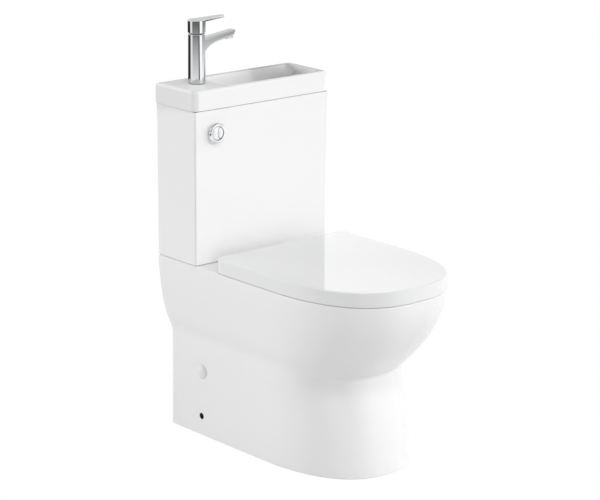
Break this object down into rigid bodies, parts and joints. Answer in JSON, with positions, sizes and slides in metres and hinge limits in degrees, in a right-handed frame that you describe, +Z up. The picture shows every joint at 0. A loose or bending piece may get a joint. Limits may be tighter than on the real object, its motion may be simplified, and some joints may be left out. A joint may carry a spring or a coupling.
{
  "type": "toilet with basin on the cistern",
  "caption": "Close-coupled, back-to-wall toilet with a wrap-over lid and a slim cistern that carries a hand basin, a lever tap and a round dual flush button.",
  "frame": {"origin": "on the floor, under the middle of the box round the whole object", "axes": "+Z up, front of the bowl towards -Y, wall behind at +Y, +X to the right of someone facing the wall"},
  "size_m": [0.38, 0.633, 0.9245],
  "materials": {
    "ceramic": "glossy white vitreous china glaze",
    "seat_plastic": "glossy white moulded thermoset",
    "chrome": "polished chrome plate",
    "brass": "plain machined brass",
    "steel": "stainless steel",
    "white_plastic": "moulded white plastic",
    "blue_plastic": "moulded blue plastic",
    "grey_plastic": "moulded grey plastic",
    "clear_tube": "translucent hose",
    "rubber": "black rubber",
    "foam": "dark foam",
    "red_seal": "red silicone",
    "buffer": "pale grey soft rubber"
  },
  "bodies": {
    "fixed": {"pan": "ceramic", "side_covers": "seat_plastic", "cistern_pad": "foam", "cistern": "ceramic", "basin_gasket": "rubber", "basin": "ceramic", "basin_waste": "chrome", "waste_washer": "rubber", "waste_backnut": "brass", "waste_tailpipe": "white_plastic", "tap_base_seal": "rubber", "tap_body": "chrome", "tap_aerator": "chrome", "tap_cartridge": "grey_plastic", "tap_washer": "rubber", "tap_backnut": "brass", "tap_tails": "steel", "tail_nuts": "brass", "flush_bezel": "chrome", "bezel_locknut": "white_plastic", "button_housing": "white_plastic", "full_button_spring": "steel", "half_button_spring": "steel", "air_tubes": "clear_tube", "flush_valve_body": "white_plastic", "flush_valve_backnut": "white_plastic", "flush_actuator": "white_plastic", "doughnut_washer": "foam", "coupling_bolts": "steel", "coupling_washers": "rubber", "coupling_wingnuts": "white_plastic", "fill_valve_body": "white_plastic", "fill_valve_head": "blue_plastic", "fill_valve_backnut": "white_plastic", "hinge_blocks": "chrome", "hinge_pins": "steel", "hinge_bolts": "steel", "hinge_nuts": "white_plastic"},
    "seat": {"seat": "seat_plastic", "seat_buffers": "buffer"},
    "lid": {"lid": "seat_plastic", "lid_buffers": "buffer"},
    "tap_core": {"tap_carrier": "grey_plastic"},
    "tap_handle": {"tap_lever": "chrome", "tap_stem": "steel"},
    "full_button": {"full_flush_button": "chrome"},
    "half_button": {"half_flush_button": "chrome"},
    "flush_piston": {"flush_piston": "blue_plastic", "flush_seal": "red_seal"},
    "float": {"fill_valve_float": "grey_plastic"}
  },
  "joints": [
    {"name": "seat_hinge", "type": "hinge", "parent": "fixed", "child": "seat", "pos_m": [0, 0.1195, 0.417], "axis": [-1, 0, 0], "range_deg": [0, 95]},
    {"name": "lid_hinge", "type": "hinge", "parent": "seat", "child": "lid", "pos_m": [0, 0.1195, 0.417], "axis": [1, 0, 0], "range_deg": [-95, 0]},
    {"name": "lever_turn", "type": "hinge", "parent": "fixed", "child": "tap_core", "pos_m": [-0.123, 0.2565, 0.883], "axis": [0, 0, 1], "range_deg": [-40, 40]},
    {"name": "lever_lift", "type": "hinge", "parent": "tap_core", "child": "tap_handle", "pos_m": [-0.123, 0.2565, 0.883], "axis": [0, -1, 0], "range_deg": [0, 20]},
    {"name": "full_flush_press", "type": "slide", "parent": "fixed", "child": "full_button", "axis": [0, 1, 0], "range_m": [0, 0.006], "stiffness_N_per_m": 400, "deforming": ["full_button_spring"]},
    {"name": "half_flush_press", "type": "slide", "parent": "fixed", "child": "half_button", "axis": [0, 1, 0], "range_m": [0, 0.006], "stiffness_N_per_m": 400, "deforming": ["half_button_spring"]},
    {"name": "valve_lift", "type": "slide", "parent": "fixed", "child": "flush_piston", "axis": [0, 0, 1], "range_m": [0, 0.02]},
    {"name": "float_rise", "type": "slide", "parent": "fixed", "child": "float", "axis": [0, 0, 1], "range_m": [0, 0.014]}
  ],
  "couplings": [
    {"joint": "valve_lift", "follows": "full_flush_press", "ratio": 3.3333}
  ]
}
